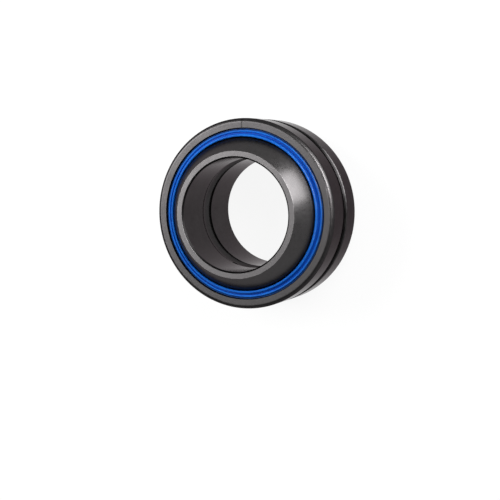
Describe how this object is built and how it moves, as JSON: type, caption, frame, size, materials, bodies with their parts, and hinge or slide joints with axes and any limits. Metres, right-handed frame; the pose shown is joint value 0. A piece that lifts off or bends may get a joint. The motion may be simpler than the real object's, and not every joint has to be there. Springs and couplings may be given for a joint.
{
  "type": "spherical plain bearing",
  "caption": "Radial spherical plain bearing: a steel inner ring with a ball-shaped outside tilts in a fractured steel outer ring, with a blue lip seal at each end.",
  "frame": {"origin": "centre of the ball, halfway along the bore", "axes": "+Z along the bore axis, +Y towards the crack in the outer ring"},
  "size_m": [0.068, 0.068, 0.04],
  "materials": {
    "ring_steel": "black phosphated bearing steel, satin, with ground end faces",
    "seal_blue": "blue polyurethane, smooth and slightly glossy"
  },
  "bodies": {
    "inner": {"inner_ring": "ring_steel"},
    "outer": {"outer_ring": "ring_steel", "upper_seal": "seal_blue", "lower_seal": "seal_blue"}
  },
  "joints": [
    {"name": "tilt", "type": "hinge", "parent": "inner", "child": "outer", "pos_m": [0, 0, 0], "axis": [1, 0, 0], "range_deg": [-17, 17]}
  ]
}
